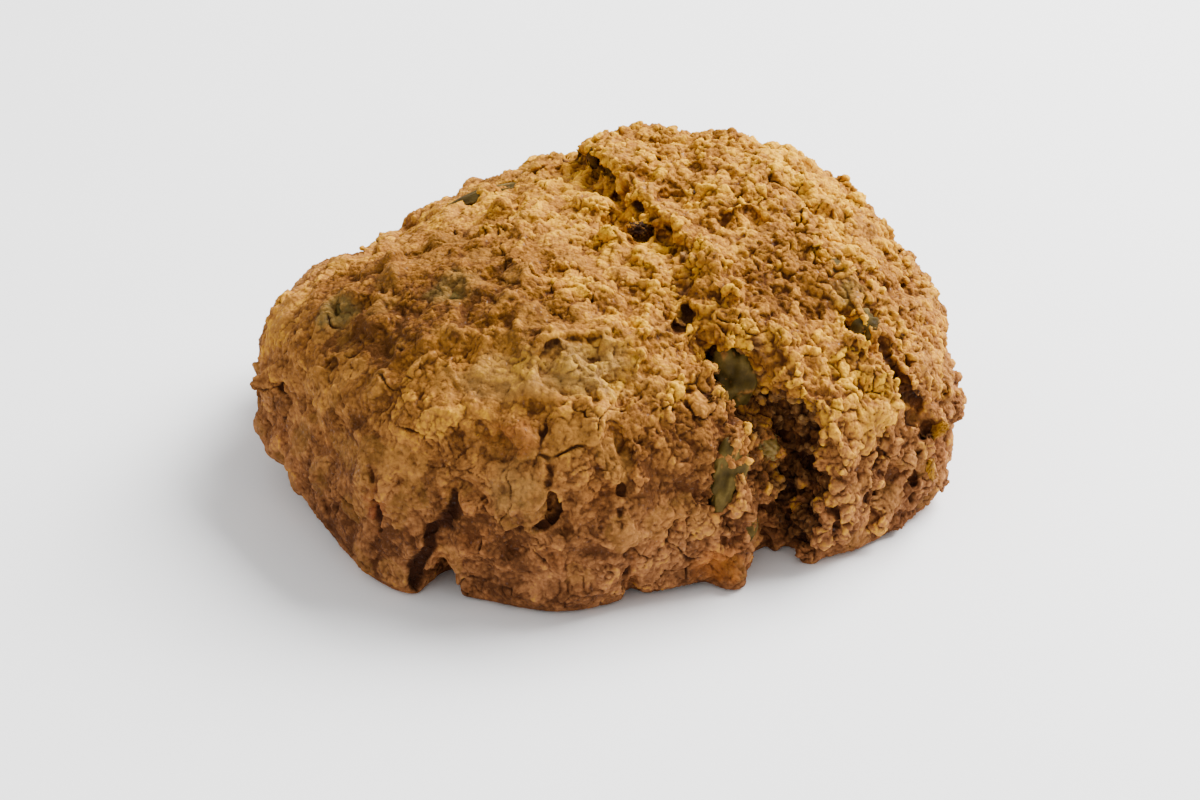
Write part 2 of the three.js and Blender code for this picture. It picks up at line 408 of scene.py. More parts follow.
def lips(points, cracks):
    """How far each point is raised or lowered beside the cracks."""
    lift = np.zeros(len(points))
    for name, line in cracks.items():
        reach = CRACKS[name].get("reach", LIP_REACH)
        close, place, apart = line.measure(points, reach)
        hand = ((points[close] - line.points[place]) * line.right_hand[place]).sum(1)
        left, right = CRACKS[name]["lips"]
        along = place / (len(line.points) - 1)
        fade = ease(along, 0, LIP_FADE) * ease(1 - along, 0, LIP_FADE)
        rise = left + (right - left) * ease(hand, -LIP_EDGE, LIP_EDGE)
        lift[close] += rise * ease(apart, reach, LIP_EDGE) * fade
    return lift


def grooves(points, cracks, least=0):
    """How deep the cracks cut at each point, with ragged sides and at least the given half width."""
    course = ragged(points, CRACK_WANDERS)
    vary = np.clip(1 + CRACK_SWING * mottle(points, CRACK_PATCH), *CRACK_LIMITS)
    depth = np.zeros(len(points))
    for line in cracks.values():
        close, place, apart = line.measure(course, LIP_REACH)
        half, deep = line.rest[place].T
        wide = np.maximum(half * vary[close], least) * CRACK_FLARE
        cut = deep * (1 - np.clip(apart / wide, 0, 1)) ** CRACK_HOLLOWING
        depth[close] = np.maximum(depth[close], cut)
    return depth


def sphere_directions(count):
    turn = np.arange(count) * math.pi * (3 - math.sqrt(5))
    height = 1 - (np.arange(count) + 0.5) * 2 / count
    ring = np.sqrt(1 - height ** 2)
    return np.stack([ring * np.cos(turn), ring * np.sin(turn), height], 1)


def openness(mesh):
    """For each point, the share of the sky over it that the cookie itself leaves open."""
    tree = surface_tree(mesh)
    directions = [Vector(d) for d in sphere_directions(SKY_RAYS)]
    share = np.empty(len(mesh.vertices))
    for i, vertex in enumerate(mesh.vertices):
        normal = vertex.normal
        start = vertex.co + normal * (SKY_START * MM)
        total = seen = 0.0
        for direction in directions:
            weight = direction.dot(normal)
            if weight > SKY_GRAZING:
                total += weight
                if tree.ray_cast(start, direction, SKY_REACH * MM)[0] is None:
                    seen += weight
        share[i] = seen / total
    return share


# -------- crumbs, lumps and flakes
# Sizes are half lengths in mm. Shape is the spans of length, width and thickness, and sink is how
# deep a bit sits in the dough, as a share of its own half thickness.
LUMP = {"shape": ((0.8, 1.3), (0.7, 1.1), (0.45, 0.75)), "tilt": 0.3, "sink": 0.6, "cuts": 3, "detail": 2}
COATING = {
    "lumps": {**LUMP, "count": 150, "size": 2.6, "sink": 0.75},
    "bits": {**LUMP, "count": 3000, "size": 1.0, "sink": 0.55, "tilt": 0.5},
    "flakes": {"count": 260, "size": 2.7, "shape": ((0.8, 1.1), (0.6, 0.8), (0.17, 0.24)), "tilt": 0.12,
               "sink": 0.3, "cuts": 2, "detail": 2},
}
TORN_LUMPS = {**LUMP, "count": 110, "size": 2.7, "sink": -0.1, "tilt": 0.8}
TORN_CRUMBS = {**LUMP, "count": 420, "size": 1.1, "sink": -0.2, "tilt": 0.9}
FRUIT_CRUMBS = {**LUMP, "count": 620, "size": 1.0, "sink": 0.1, "tilt": 0.7}
# Crumbs on each baked-in piece itself, where it dips into the dough.
RIM_CRUMBS = {**LUMP, "count": 26, "size": 0.9, "sink": 0.3, "tilt": 0.6}
EDGE_LUMP = {**LUMP, "sink": 0.2, "tilt": 0.8, "cuts": 4}
CRUMB_SEED = 11
# How far out from a bit's middle the planes cut it, as a share of its radius.
CUT_REACH = (0.45, 0.9)

# Torn edges: stops in mm, then how the lumps lie along them, to the right hand and out of the dough.
EDGES = {
    "split_left_lip": (
        [(13, -31, 37), (16, -36, 34), (19, -41, 29), (21, -44, 23), (21, -46, 17), (19, -46, 11),
         (17, -45, 5)],
        {"count": 60, "size": 1.5, "aside": (-1.2, 1.6), "out": (-0.6, 0.5)}),
    "split_roof": (
        [(16, -27, 39), (20, -30, 37), (25, -33, 34), (30, -35, 31), (34, -37, 27)],
        {"count": 60, "size": 2.0, "aside": (-0.5, 3.2), "out": (-1.8, 0.5)}),
    "split_right_lip": (
        [(34, -37, 27), (36, -38, 22), (36, -38, 16), (34, -38, 10), (32, -36, 4)],
        {"count": 55, "size": 1.7, "aside": (-1.0, 2.0), "out": (-1.0, 0.5)}),
    "crest_lip": (
        [(-3, 22, 43), (1, 12, 44), (5, 0, 44), (8, -7, 43), (12, -13, 42), (14, -20, 40)],
        {"count": 70, "size": 1.4, "aside": (-2.2, -0.3), "out": (-0.2, 0.9)}),
    "seam_bridge": (
        [(12, -21, 40), (14, -24, 38), (12, -28, 38)],
        {"count": 8, "size": 1.2, "aside": (-2.5, 2.5), "out": (-2.5, -0.4)}),
    "right_crack_lip": (
        [(35, -17, 37), (39, -26, 33), (44, -30, 27), (49, -28, 20)],
        {"count": 40, "size": 1.3, "aside": (0.2, 1.8), "out": (-0.3, 0.6)}),
}
# The middle of the open split, from its top to the foot.
SPLIT = [(14, -29, 38), (19, -36, 33), (27, -41, 26), (28, -43, 17), (27, -43, 7), (25, -40, 0)]
SPLIT_REACH = 16
SPLIT_MOUTH = (29, -50, 22)
SPLIT_INWARD = (-0.15, 0.95, -0.05)


def ball(subdivisions):
    shape = bmesh.new()
    bmesh.ops.create_icosphere(shape, subdivisions=subdivisions, radius=1)
    points = np.array([v.co for v in shape.verts])
    faces = np.array([[v.index for v in f.verts] for f in shape.faces])
    shape.free()
    return points, faces


def surface_picks(mesh, count, rng, weight):
    """Random places on a mesh with their normals: weight says how thickly each point is covered."""
    corners = triangles_of(mesh)
    points = read_points(mesh)
    normals = read_normals(mesh)
    a, b, c = (points[corners[:, k]] for k in range(3))
    area = np.linalg.norm(np.cross(b - a, c - a), axis=1) * weight[corners].mean(1)
    pick = rng.choice(len(area), count, p=area / area.sum())
    share = rng.dirichlet((1, 1, 1), count)
    place = np.einsum("nk,nkd->nd", share, points[corners[pick]])
    normal = np.einsum("nk,nkd->nd", share, normals[corners[pick]])
    return place, unit(normal)


def chips(places, normals, rng, kind):
    """Broken bits lying on the surface: balls cut by random planes, flattened, tilted and sunk."""
    template, faces = ball(kind["detail"])
    count = len(places)
    points = np.repeat(template[None], count, 0)
    for _ in range(kind["cuts"]):
        plane = unit(rng.normal(size=(count, 1, 3)))
        reach = rng.uniform(*CUT_REACH, (count, 1))
        beyond = np.maximum((points * plane).sum(-1) - reach, 0)
        points = points - beyond[..., None] * plane
    stretch = np.stack([kind["size"] * rng.uniform(*span, count) for span in kind["shape"]], 1)
    points = points * stretch[:, None, :]
    up = unit(normals + kind["tilt"] * rng.normal(size=(count, 3)))
    along = unit(np.cross(up, rng.normal(size=(count, 3))))
    across = np.cross(up, along)
    turned = points[..., :1] * along[:, None] + points[..., 1:2] * across[:, None]
    turned += points[..., 2:] * up[:, None]
    turned += (places - normals * (kind["sink"] * stretch[:, 2])[:, None])[:, None]
    offsets = (np.arange(count) * len(template))[:, None, None]
    return turned.reshape(-1, 3), (faces[None] + offsets).reshape(-1, 3)


def scattered(mesh, rng, weight, kind):
    places, normals = surface_picks(mesh, kind["count"], rng, weight)
    return chips(places, normals, rng, kind)


def strewn(edge, rng, kind):
    """Lumps along a torn edge: they stand off it sideways and out by the given spans."""
    pick = rng.integers(0, len(edge.points), kind["count"])
    places = edge.points[pick]
    places = places + edge.right_hand[pick] * rng.uniform(*kind["aside"], (kind["count"], 1))
    places = places + edge.normals[pick] * rng.uniform(*kind["out"], (kind["count"], 1))
    return chips(places, edge.normals[pick], rng, kind)


# -------- the baked crust
CLUMP_VOXEL = 0.45
SKIN_VOXEL = 0.28
# How often the fused bits, and the normals of each stage, are smoothed.
MELT_PASSES = 2
MELT_NORMAL_PASSES = 6
SKIN_NORMAL_PASSES = 3
# How often points are smoothed into the even form that crumbs stand on, and into the skin that the
# finest relief stands off. Then how soft the torn dough's edge is, and where it begins.
EVEN_PASSES = 60
FINE_PASSES = 5
TORN_PASSES = 15
TORN_FROM = 0.3
# The share of a crack cut into the clumps and its least half width there, then the share and the most
# that is cut again into the skin.
FIRST_CUT = 0.6
WIDE_GROOVE = 0.45
SECOND_CUT = 0.6
SECOND_CUT_MOST = 1.2
# Lumps of three sizes: size, height of the dome, step from one to the next, lean, depth of the gap.
CLUMP = (4.4, 0.85, 0.5, 0.45, 0.5)
CRUMB = (2.5, 0.5, 0.45, 0.4, 0.35)
GRIT = (0.9, 0.26, 0.08, 0.1, 0.0)
GRAIN_SIZE = 0.55
GRAIN_HEIGHT = 0.25
# Rough patches: their size, and how rough the calmest place is.
CLUMP_PATCHES = (9, 0.68)
CRUMB_PATCHES = (6, 0.4)
ROUGH_OPENS = (-0.35, 0.3)
ROUGH_APART = 40
# The crust is most broken up on the right and the top: mm to the right, with a share of the height.
EXPOSED_SPAN = (0, 40)
EXPOSED_RISE = 0.6
# Heights over which the relief sets in above the flat foot.
CLUMP_FOOT = (0.2, 3)
SKIN_FOOT = (0, 1.5)
# How much more torn clumps stand out, and the most that any bit may stand off the even form.
TORN_RELIEF = 0.8
PROUDEST = 0.8
# What the colour layers take as their whole span of relief, and as a full cut, in mm.
FINE_SPAN = 0.4
BROAD_SPAN = 2
CUT_FULL = 0.8
DEEP_FULL = 2.2
# Crack networks of the skin: cell size, depth, and the size of the mottle that says where they open.
NETWORKS = [(7, 0.7, 11), (3.4, 0.35, 7)]
NETWORK_WIDTH = 0.28
NETWORK_APART = 30
NETWORK_OPENS = (0.1, 0.5)
NETWORK_WANDERS = [(1.6, 0.35)]
# Distances from an oat flake over which the skin turns into it, and how much flatter it is there.
FLAKE_EDGE = (0.75, 0.35)
FLAKE_CALM = 0.6
# What each covering keeps to: distances from the fruit in mm, heights in mm, and shares of open sky.
OFF_FRUIT = (0.6, 1.6)
BESIDE_FRUIT = (2.2, 1.2)
OFF_FOOT = (1, 4)
FRUIT_SKY = (0.3, 0.5)
TORN_SKY = (0.62, 0.45)
OUTER_SKY = (0.3, 0.65)
LEAST_OUTER = 0.1


def joined(shells):
    """One mesh of many closed shells, which may cross each other."""
    points, faces, start = [], [], 0
    for shell_points, shell_faces in shells:
        points.append(shell_points)
        faces.append(shell_faces + start)
        start += len(shell_points)
    return make_mesh("shells", np.concatenate(points), np.concatenate(faces))


def largest_shell(mesh):
    """The mesh without loose bits, so that one closed skin is left."""
    ends = edge_ends(mesh)
    group = np.arange(len(mesh.vertices))
    settled = False
    while not settled:
        before = group.copy()
        low = np.minimum(group[ends[:, 0]], group[ends[:, 1]])
        np.minimum.at(group, ends[:, 0], low)
        np.minimum.at(group, ends[:, 1], low)
        group = group[group]
        settled = (group == before).all()
    kept = group == np.bincount(group).argmax()
    quads = read_quads(mesh)
    quads = quads[kept[quads[:, 0]]]
    renumbered = np.cumsum(kept) - 1
    skin = make_mesh(mesh.name, read_points(mesh)[kept], renumbered[quads])
    bpy.data.meshes.remove(mesh)
    return skin


def roughness(points, size, least):
    """How lumpy the crust is at each point, in patches: most on the right and the top, and the given
    least on the left of the foot."""
    broken = ease(mottle(points + ROUGH_APART, size), *ROUGH_OPENS)
    exposed = ease(points[:, 0] + EXPOSED_RISE * points[:, 2], *EXPOSED_SPAN)
    steady = 0.4 + 0.3 * exposed
    return (steady + (0.6 - 0.3 * exposed) * broken) * (least + (1 - least) * exposed)


def clumped(mesh, cracks, base_points, torn):
    """Rounded clumps and the larger cracks, cut into the fused dough, then an even skin again."""
    ends = edge_ends(mesh)
    points = smoothed(read_points(mesh), ends, MELT_PASSES)
    normals = unit(smoothed(read_normals(mesh), ends, MELT_NORMAL_PASSES))
    lift = lumpy(points, *CLUMP)[0] * roughness(points, *CLUMP_PATCHES)
    lift *= 1 + TORN_RELIEF * torn[nearest(base_points, points)[0]]
    lift -= grooves(points, cracks, WIDE_GROOVE) * FIRST_CUT
    lift *= ease(points[:, 2], *CLUMP_FOOT)
    raised(mesh, points, normals, lift)
    return largest_shell(fused(mesh, SKIN_VOXEL))


# The discs of the texture map: middle and radius of each.
DISCS = {
    "outside": ((0.41, 0.41), 0.4),
    "foot": ((0.815, 0.815), 0.175),
    "split": ((0.865, 0.135), 0.12),
}
# Keeps places straight behind a disc's middle from flying off.
STRAIGHT_BEHIND = -0.9
# How far the flat foot may rise off the floor.
FOOT_RISE = 0.4


def dome_map(points, middle, axis):
    """Where each point falls on a disc 1 in radius, by its direction from the middle: straight along
    the axis is the disc's centre, square to it is the rim, and equal spreads take equal room."""
    axis = Vector(axis).normalized()
    side = axis.orthogonal().normalized()
    direction = unit(points - middle)
    flat = np.stack([direction @ side, direction @ axis.cross(side)], 1)
    return flat / np.sqrt(1 + np.maximum(direction @ axis, STRAIGHT_BEHIND))[:, None]


def lay_out(mesh, torn):
    """The texture map: the outside on the large disc, the flat foot and the torn split on small ones."""
    points = read_points(mesh)
    low, high = points.min(0), points.max(0)
    half = (high - low) * (0.5, 0.5, 1)
    level = (low + high) * (0.5, 0.5, 0)
    around = (points - level) / half
    on_disc = [
        dome_map(around, (0, 0, 0), (0, 0, 1)),
        around[:, :2],
        dome_map(points, SPLIT_MOUTH, SPLIT_INWARD),
    ]
    maps = np.stack([np.clip(place, -1, 1) * size + middle
                     for place, (middle, size) in zip(on_disc, DISCS.values())])
    quads = read_quads(mesh)
    outside, foot, split = range(len(DISCS))
    on_floor = points[quads, 2].max(1) < FOOT_RISE
    in_split = torn[quads].mean(1) > 0.5
    island = np.where(on_floor, foot, np.where(in_split, split, outside))
    layer = mesh.uv_layers.new(name="OFBake")
    layer.uv.foreach_set("vector", maps[island[:, None], quads].astype(np.float32).ravel())


def hairlines(points):
    """How deep the skin's own network of thin cracks cuts at each point."""
    depth = np.zeros(len(points))
    course = ragged(points, NETWORK_WANDERS)
    for i, (size, deep, spread) in enumerate(NETWORKS):
        moved = course + NETWORK_APART * (i + 1)
        inward, *_ = clumps(moved, size)
        where = ease(mottle(moved, spread), *NETWORK_OPENS)
        side = ease(inward * size, NETWORK_WIDTH * 1.5, NETWORK_WIDTH * 0.3)
        depth = np.maximum(depth, side * where * deep)
    return depth


def coverage(points, sky):
    """How thickly each covering lies at each point of the dough, from 0 to 1 at the most."""
    fruit_points = np.concatenate([read_points(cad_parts[name].data) for name in INCLUSIONS])
    off_fruit = nearest(fruit_points, points)[1]
    bare = ease(off_fruit, *OFF_FRUIT)
    lifted = ease(points[:, 2], *OFF_FOOT)
    in_split = nearest(spline(SPLIT, 1), points)[1] < SPLIT_REACH
    beside_fruit = ease(off_fruit, *BESIDE_FRUIT) * ease(sky, *FRUIT_SKY)
    return {
        "torn": in_split * ease(sky, *TORN_SKY) * lifted * bare,
        "outer": np.clip(ease(sky, *OUTER_SKY), LEAST_OUTER, 1) * lifted * bare,
        "beside_fruit": beside_fruit * lifted,
    }


def loose_bits(base, edges, bodies, cover, rng):
    """Every bit that bakes onto the dough, by name. Each one's draws follow on from the last one's."""
    shells = {name: scattered(base, rng, cover["outer"], kind) for name, kind in COATING.items()}
    shells["torn_lumps"] = scattered(base, rng, cover["torn"], TORN_LUMPS)
    shells["torn_crumbs"] = scattered(base, rng, cover["torn"], TORN_CRUMBS)
    shells["fruit_crumbs"] = scattered(base, rng, cover["beside_fruit"], FRUIT_CRUMBS)
    for piece in bodies:
        shells[piece.name] = scattered(piece.data, rng, read_layer(piece.data, "rim"), RIM_CRUMBS)
    for name, (_, kind) in EDGES.items():
        shells[name] = strewn(edges[name], rng, {**EDGE_LUMP, **kind})
    return shells


def textured(skin, cracks, flake_points):
    """Crumbs, grit and thin cracks on the skin. Gives its points, which corner of the flakes is nearest
    to each, and the layers that its colour follows."""
    points = read_points(skin)
    ends = edge_ends(skin)
    flake_corner, apart = nearest(flake_points, points)
    on_flake = ease(apart, *FLAKE_EDGE)
    normals = unit(smoothed(read_normals(skin), ends, SKIN_NORMAL_PASSES))
    even = smoothed(points, ends, EVEN_PASSES)
    proud = ((points - even) * normals).sum(1)
    points -= normals * np.maximum(proud - PROUDEST, 0)[:, None]
    crumb_lift, crumb_own, between = lumpy(points, *CRUMB)
    rough = roughness(points, *CRUMB_PATCHES)
    grit = lumpy(points, *GRIT)[0] + mottle(points, GRAIN_SIZE) * GRAIN_HEIGHT
    lift = crumb_lift * rough + grit * (0.5 + 0.5 * rough)
    lift *= 1 - FLAKE_CALM * on_flake
    deep = grooves(points, cracks)
    cut = np.maximum(hairlines(points), np.minimum(deep * SECOND_CUT, SECOND_CUT_MOST))
    lift -= cut
    lift *= ease(points[:, 2], *SKIN_FOOT)
    raised(skin, points, normals, lift)

    normals = read_normals(skin)
    fine = ((points - smoothed(points, ends, FINE_PASSES)) * normals).sum(1)
    broad = ((points - even) * normals).sum(1)
    return points, flake_corner, {
        "flake": on_flake,
        "tint": crumb_own,
        "fine": np.clip(0.5 + fine / FINE_SPAN, 0, 1),
        "broad": np.clip(0.5 + broad / BROAD_SPAN, 0, 1),
        "gap": between * rough,
        "crack": np.clip(np.maximum(cut / CUT_FULL, deep / DEEP_FULL), 0, 1),
    }


def crust(base, tree, bodies):
    """The whole baked body: broad form, bits of every size fused on, then clumped and cracked."""
    rng = np.random.default_rng(CRUMB_SEED)
    cracks = {name: Line(tree, crack["stops"]) for name, crack in CRACKS.items()}
    edges = {name: Line(tree, stops) for name, (stops, _) in EDGES.items()}
    base_points = read_points(base)
    base_points += read_normals(base) * lips(base_points, cracks)[:, None]
    write_points(base, base_points)
    sky = openness(base)
    cover = coverage(base_points, sky)
    shells = loose_bits(base, edges, bodies, cover, rng)
    raw = joined([(base_points, triangles_of(base)), *shells.values()])
    skin = clumped(fused(raw, CLUMP_VOXEL), cracks, base_points, cover["torn"])

    flake_points = shells["flakes"][0]
    flakes = COATING["flakes"]["count"]
    points, flake_corner, layers = textured(skin, cracks, flake_points)
    own_tint = rng.random(flakes)[flake_corner // (len(flake_points) // flakes)]
    layers["tint"] = np.where(layers["flake"] > 0.5, own_tint, layers["tint"])
    base_of = nearest(base_points, points)[0]
    torn = smoothed((cover["torn"] > TORN_FROM)[base_of] * 1.0, edge_ends(skin), TORN_PASSES)
    write_layers(skin, {"sky": sky[base_of], "torn": torn, **layers})
    lay_out(skin, read_layer(skin, "torn"))
    skin.shade_smooth()
    skin.name = "cookie_crust"
    bpy.data.meshes.remove(base)
    return placed("cookie_crust", skin)


# -------- shader maths as expressions
class Value:
    """A shader socket that can be used in sums."""

    def __init__(self, finish, socket):
        self.finish = finish
        self.socket = socket

    def math(self, operation, left, right):
        return self.finish.node("ShaderNodeMath", {"operation": operation}, {0: left, 1: right})

    def __add__(self, other):
        return self.math("ADD", self, other)

    def __radd__(self, other):
        return self.math("ADD", other, self)

    def __sub__(self, other):
        return self.math("SUBTRACT", self, other)

    def __rsub__(self, other):
        return self.math("SUBTRACT", other, self)

    def __mul__(self, other):
        return self.math("MULTIPLY", self, other)

    def __rmul__(self, other):
        return self.math("MULTIPLY", other, self)


# How finely and how far the outlines of grains wander, in shares of their size, and those of stains,
# in mm. Then the shares of a stain's reach where it begins and is full.
GRAIN_BEND = 0.6
GRAIN_DRIFT = 0.9
STAIN_BEND = 3.5
STAIN_DRIFT = 6
STAIN_EDGE = (1.15, 0.55)


class Finish:
    """One procedural material, built by node() and the helpers that use it."""

    def __init__(self, name):
        self.material = bpy.data.materials.new(name)
        self.material.use_nodes = True
        self.tree = self.material.node_tree
        self.shader = self.tree.nodes["Principled BSDF"]
        self.place = self.node("ShaderNodeTexCoord", output="Object")

    def node(self, kind, settings=None, inputs=None, output=0):
        made = self.tree.nodes.new(kind)
        for key, setting in (settings or {}).items():
            if key == "stops":
                self.set_stops(made.color_ramp, setting)
            else:
                setattr(made, key, setting)
        for key, value in (inputs or {}).items():
            self.feed(made.inputs[key], value)
        return Value(self, made.outputs[output])

    def set_stops(self, ramp, stops):
        while len(ramp.elements) < len(stops):
            ramp.elements.new(1)
        for element, (position, colour) in zip(ramp.elements, stops):
            element.position = position
            element.color = colour

    def feed(self, socket, value):
        if isinstance(value, Value):
            self.tree.links.new(value.socket, socket)
        else:
            socket.default_value = value

    def set(self, **inputs):
        for key, value in inputs.items():
            self.feed(self.shader.inputs[key.replace("_", " ")], value)

    def attribute(self, name):
        return self.node("ShaderNodeAttribute", {"attribute_name": name}, output="Fac")

    def height(self):
        return self.node("ShaderNodeSeparateXYZ", None, {"Vector": self.place}, output="Z")

    def noise(self, size, detail=3, roughness=0.55):
        return self.node("ShaderNodeTexNoise", None, {
            "Vector": self.place, "Scale": 1 / (size * MM), "Detail": detail, "Roughness": roughness})

    def wander(self, scale, detail, drift):
        """The place, pushed by a smooth noise of the given scale through up to the drift in mm."""
        shift = self.node("ShaderNodeTexNoise", None, {
            "Vector": self.place, "Scale": scale, "Detail": detail}, output="Color")
        return self.node("ShaderNodeVectorMath", {"operation": "MULTIPLY_ADD"}, {
            0: shift, 1: (drift * MM,) * 3, 2: self.place})

    def grains(self, size, output="Distance"):
        """Rounded grains side by side: each place's distance from its grain's middle, or a colour each."""
        place = self.wander(GRAIN_BEND / (size * MM), 2, GRAIN_DRIFT * size)
        return self.node("ShaderNodeTexVoronoi", None, {
            "Vector": place, "Scale": 1 / (size * MM)}, output=output)

    def grain_tone(self, size):
        """A number for each grain: the red of its own colour."""
        return self.node("ShaderNodeSeparateColor", None, {"Color": self.grains(size, "Color")})

    def beside(self, place, reach):
        """1 at a place given in mm, falling to 0 at its reach, with a ragged edge."""
        moved = self.wander(1 / (STAIN_BEND * MM), 3, STAIN_DRIFT)
        middle = tuple((Vector(place) + Vector((STAIN_DRIFT / 2,) * 3)) * MM)
        away = self.node("ShaderNodeVectorMath", {"operation": "SUBTRACT"}, {0: moved, 1: middle})
        scaled = self.node("ShaderNodeVectorMath", {"operation": "DIVIDE"}, {
            0: away, 1: tuple(Vector(reach) * MM)})
        far = self.node("ShaderNodeVectorMath", {"operation": "LENGTH"}, {0: scaled}, output="Value")
        return self.spread(far, *STAIN_EDGE)

    def spread(self, value, low, high):
        """The value stretched so that low to high becomes 0 to 1."""
        return self.node("ShaderNodeMapRange", {"interpolation_type": "SMOOTHSTEP"}, {
            "Value": value, "From Min": low, "From Max": high})

    def ramp(self, value, stops):
        return self.node("ShaderNodeValToRGB", {"stops": stops}, {"Fac": value})

    def mix(self, factor, first, second, blend="MIX"):
        """Two colours mixed: the numbers are the Mix node's sockets for colours."""
        return self.node("ShaderNodeMix", {"data_type": "RGBA", "blend_type": blend}, {
            0: factor, 6: first, 7: second}, output=2)

    def bump(self, height, distance, strength=1, normal=None):
        inputs = {"Height": height, "Distance": distance * MM, "Strength": strength}
        if normal:
            inputs["Normal"] = normal
        return self.node("ShaderNodeBump", None, inputs)


def paint(red, green, blue):
    """A colour given as a painter reads it, on a screen scale of 0 to 255, made linear."""

    def linear(level):
        level /= 255
        return level / 12.92 if level < 0.04045 else ((level + 0.055) / 1.055) ** 2.4

    return (linear(red), linear(green), linear(blue), 1)


# -------- finishes
# Places made paler or darker than the rest, partly baked colour and partly painted light and shade: middle
# and reach in mm, and how much.
BAKE_AND_LIGHT_SHIFTS = [
    ((-31, -15, 38), (26, 22, 14), -0.36),
    ((-12, -30, 40), (14, 9, 8), -0.22),
    ((-34, -36, 14), (16, 16, 14), -0.16),
    ((-30, -30, 28), (26, 18, 14), -0.12),
    ((34, 14, 44), (14, 18, 10), 0.14),
    ((9, -46, 22), (10, 9, 12), -0.14),
    ((40, -34, 24), (13, 10, 11), 0.15),
    ((-10, -50, 22), (24, 10, 14), -0.12),
    ((28, -20, 41), (11, 11, 8), -0.3),
    ((42, -34, 10), (14, 10, 9), 0.12),
]
# Stains: middle and reach in mm, colour, strength.
PATCHES = [
    ((-1, -40, 36), (8, 5, 5), paint(138, 112, 62), 0.5),
    ((-14, -40, 35), (10, 5, 4), paint(138, 108, 60), 0.35),
    ((-22, -20, 39), (5, 5, 3), paint(100, 86, 42), 0.45),
    ((37, -18, 35), (3.5, 4, 4), paint(98, 86, 42), 0.5),
    ((-40, -14, 32), (4, 4, 4), paint(104, 92, 48), 0.5),
    ((-13, -50, 21), (5, 4, 4), paint(138, 106, 58), 0.3),
    ((17, -45, 5), (4.5, 3, 3.5), paint(170, 96, 34), 0.45),
    ((-34, -43, 14), (2, 3, 5), paint(112, 44, 22), 0.4),
    ((-15, -48, 28), (7, 4, 3), paint(150, 78, 36), 0.25),
]
# Colours from dark to light: the place on the ramp, the colour.
TOASTED = [
    (0.0, paint(80, 46, 24)), (0.25, paint(118, 74, 42)), (0.5, paint(152, 100, 60)),
    (0.75, paint(188, 132, 50)), (1.0, paint(220, 163, 44)),
]
TORN_CRUMB = [
    (0.0, paint(42, 21, 10)), (0.4, paint(94, 58, 28)),
    (0.75, paint(146, 106, 60)), (1.0, paint(186, 152, 94)),
]
CLUNG_CRUMB = [(0.3, paint(96, 60, 26)), (0.7, paint(146, 102, 48))]
# What the toasted colour is multiplied by in red patches, towards the top and in the shade.
RUDDY = (1, 0.8, 0.62, 1)
GOLDEN = (1, 1, 0.36, 1)
SHADED = (1, 0.86, 0.68, 1)
OAT = paint(180, 130, 54)
# Painted shade: browns laid between the finest bits, in the broad hollows, between crumbs and in the
# cracks, where shade falls.
PORE_SHADE = paint(66, 32, 14)
HOLLOW_SHADE = paint(70, 36, 16)
GAP_SHADE = paint(74, 36, 14)
CRACK_SHADE = paint(40, 18, 7)
# Heights in mm from the darker foot to the golden top, the foot darker partly as baked colour and partly as
# painted shade, and the two sizes of grain.
BAKED_RISE = (2, 42)
GRAIN = 0.7
CRUMB_GRAIN = 1.9


def toast_and_shade_tone(finish, height, speck, blotch):
    """How far the crust is baked to gold at each place, from 0 for burnt brown to 1, with painted light and
    shade in it: lighter on raised relief, darker in hollows and towards the foot.
    """
    tone = finish.noise(13) * 0.7 + blotch * 0.7 + speck * 0.45 + finish.attribute("tint") * 0.3
    tone = tone + finish.grain_tone(GRAIN) * 0.12 + finish.grain_tone(CRUMB_GRAIN) * 0.12
    tone = tone - finish.grains(GRAIN) * 0.22
    # Painted light and shade: raised relief lighter, hollows darker.
    tone = tone + finish.attribute("fine") * 0.28 + finish.attribute("broad") * 0.3
    # Darker towards the foot: partly baked colour, partly painted shade on the lower sides.
    tone = tone + height * 0.33 - 1.12
    # Patches of baked colour and of painted light and shade.
    for place, reach, shift in BAKE_AND_LIGHT_SHIFTS:
        tone = tone + finish.beside(place, reach) * shift
    return tone


